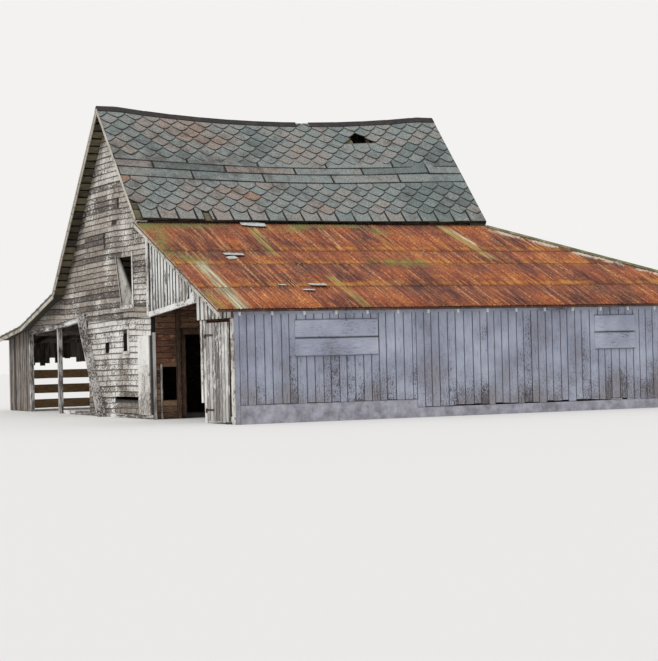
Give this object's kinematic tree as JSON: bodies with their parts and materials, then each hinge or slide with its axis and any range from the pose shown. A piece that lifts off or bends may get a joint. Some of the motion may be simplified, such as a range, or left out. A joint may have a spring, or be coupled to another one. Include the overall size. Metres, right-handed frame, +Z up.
{
  "type": "timber barn",
  "caption": "Old timber barn with a steep sagging shingled roof, a rusted lean-to that wraps its far end, an open drive-through bay and a hinged plank door.",
  "frame": {"origin": "on the ground, under the middle of the barn's outline from above", "axes": "+Z up; the front gable and its open doorways face -Y; the ridge runs along Y; the rusted lean-to is on +X and the drive-through on -X"},
  "size_m": [18.1, 14.6, 7.7753],
  "materials": {
    "worn_siding": "worn white paint on grey lap siding",
    "grey_wood": "bare weathered wood",
    "dark_wood": "bare brown wood",
    "red_wood": "old red-brown paint, worn",
    "pale_paint": "pale grey paint, peeling",
    "white_wood": "worn white paint",
    "hatch_paint": "worn grey-green paint",
    "shingles": "faded grey-green hexagonal composition shingles",
    "rusted_sheet": "ribbed metal sheets, rusted through their paint",
    "iron": "rusted iron",
    "footing": "rough concrete"
  },
  "bodies": {
    "barn": {"front_sill": "grey_wood", "front_wall": "worn_siding", "front_gable": "worn_siding", "corner_boards": "worn_siding", "drive_header": "grey_wood", "drive_posts": "grey_wood", "leaning_board": "worn_siding", "left_front_boards": "grey_wood", "loft_hatch": "hatch_paint", "lean_front_upper": "pale_paint", "lean_front_side": "pale_paint", "doorway_beam": "white_wood", "doorway_boards": "white_wood", "door_pins": "iron", "corner_post": "pale_paint", "long_wall": "pale_paint", "window_boards": "pale_paint", "long_footing": "footing", "crib_right_wall": "red_wood", "crib_left_wall": "dark_wood", "back_gable": "worn_siding", "end_wall": "pale_paint", "end_side_wall": "pale_paint", "left_wall_upper": "grey_wood", "left_wall_planks": "dark_wood", "left_posts": "grey_wood", "left_beams": "grey_wood", "left_back_wall": "grey_wood", "main_rafters": "dark_wood", "main_roof_right": "shingles", "main_roof_left": "shingles", "ridge_caps": "dark_wood", "rake_boards": "worn_siding", "right_rafters": "grey_wood", "hip_rafter": "grey_wood", "end_rafters": "grey_wood", "right_roof": "rusted_sheet", "end_roof": "rusted_sheet", "hip_cap": "rusted_sheet", "left_rafters": "grey_wood", "left_roof": "shingles", "left_outer_roof": "shingles", "eave_boards": "pale_paint"},
    "door": {"plank_door": "grey_wood", "door_straps": "iron"}
  },
  "joints": [
    {"name": "door_hinge", "type": "hinge", "parent": "barn", "child": "door", "pos_m": [7.3505, -6.9375, 0.27], "axis": [0, 0, -1], "range_deg": [0, 110]}
  ]
}
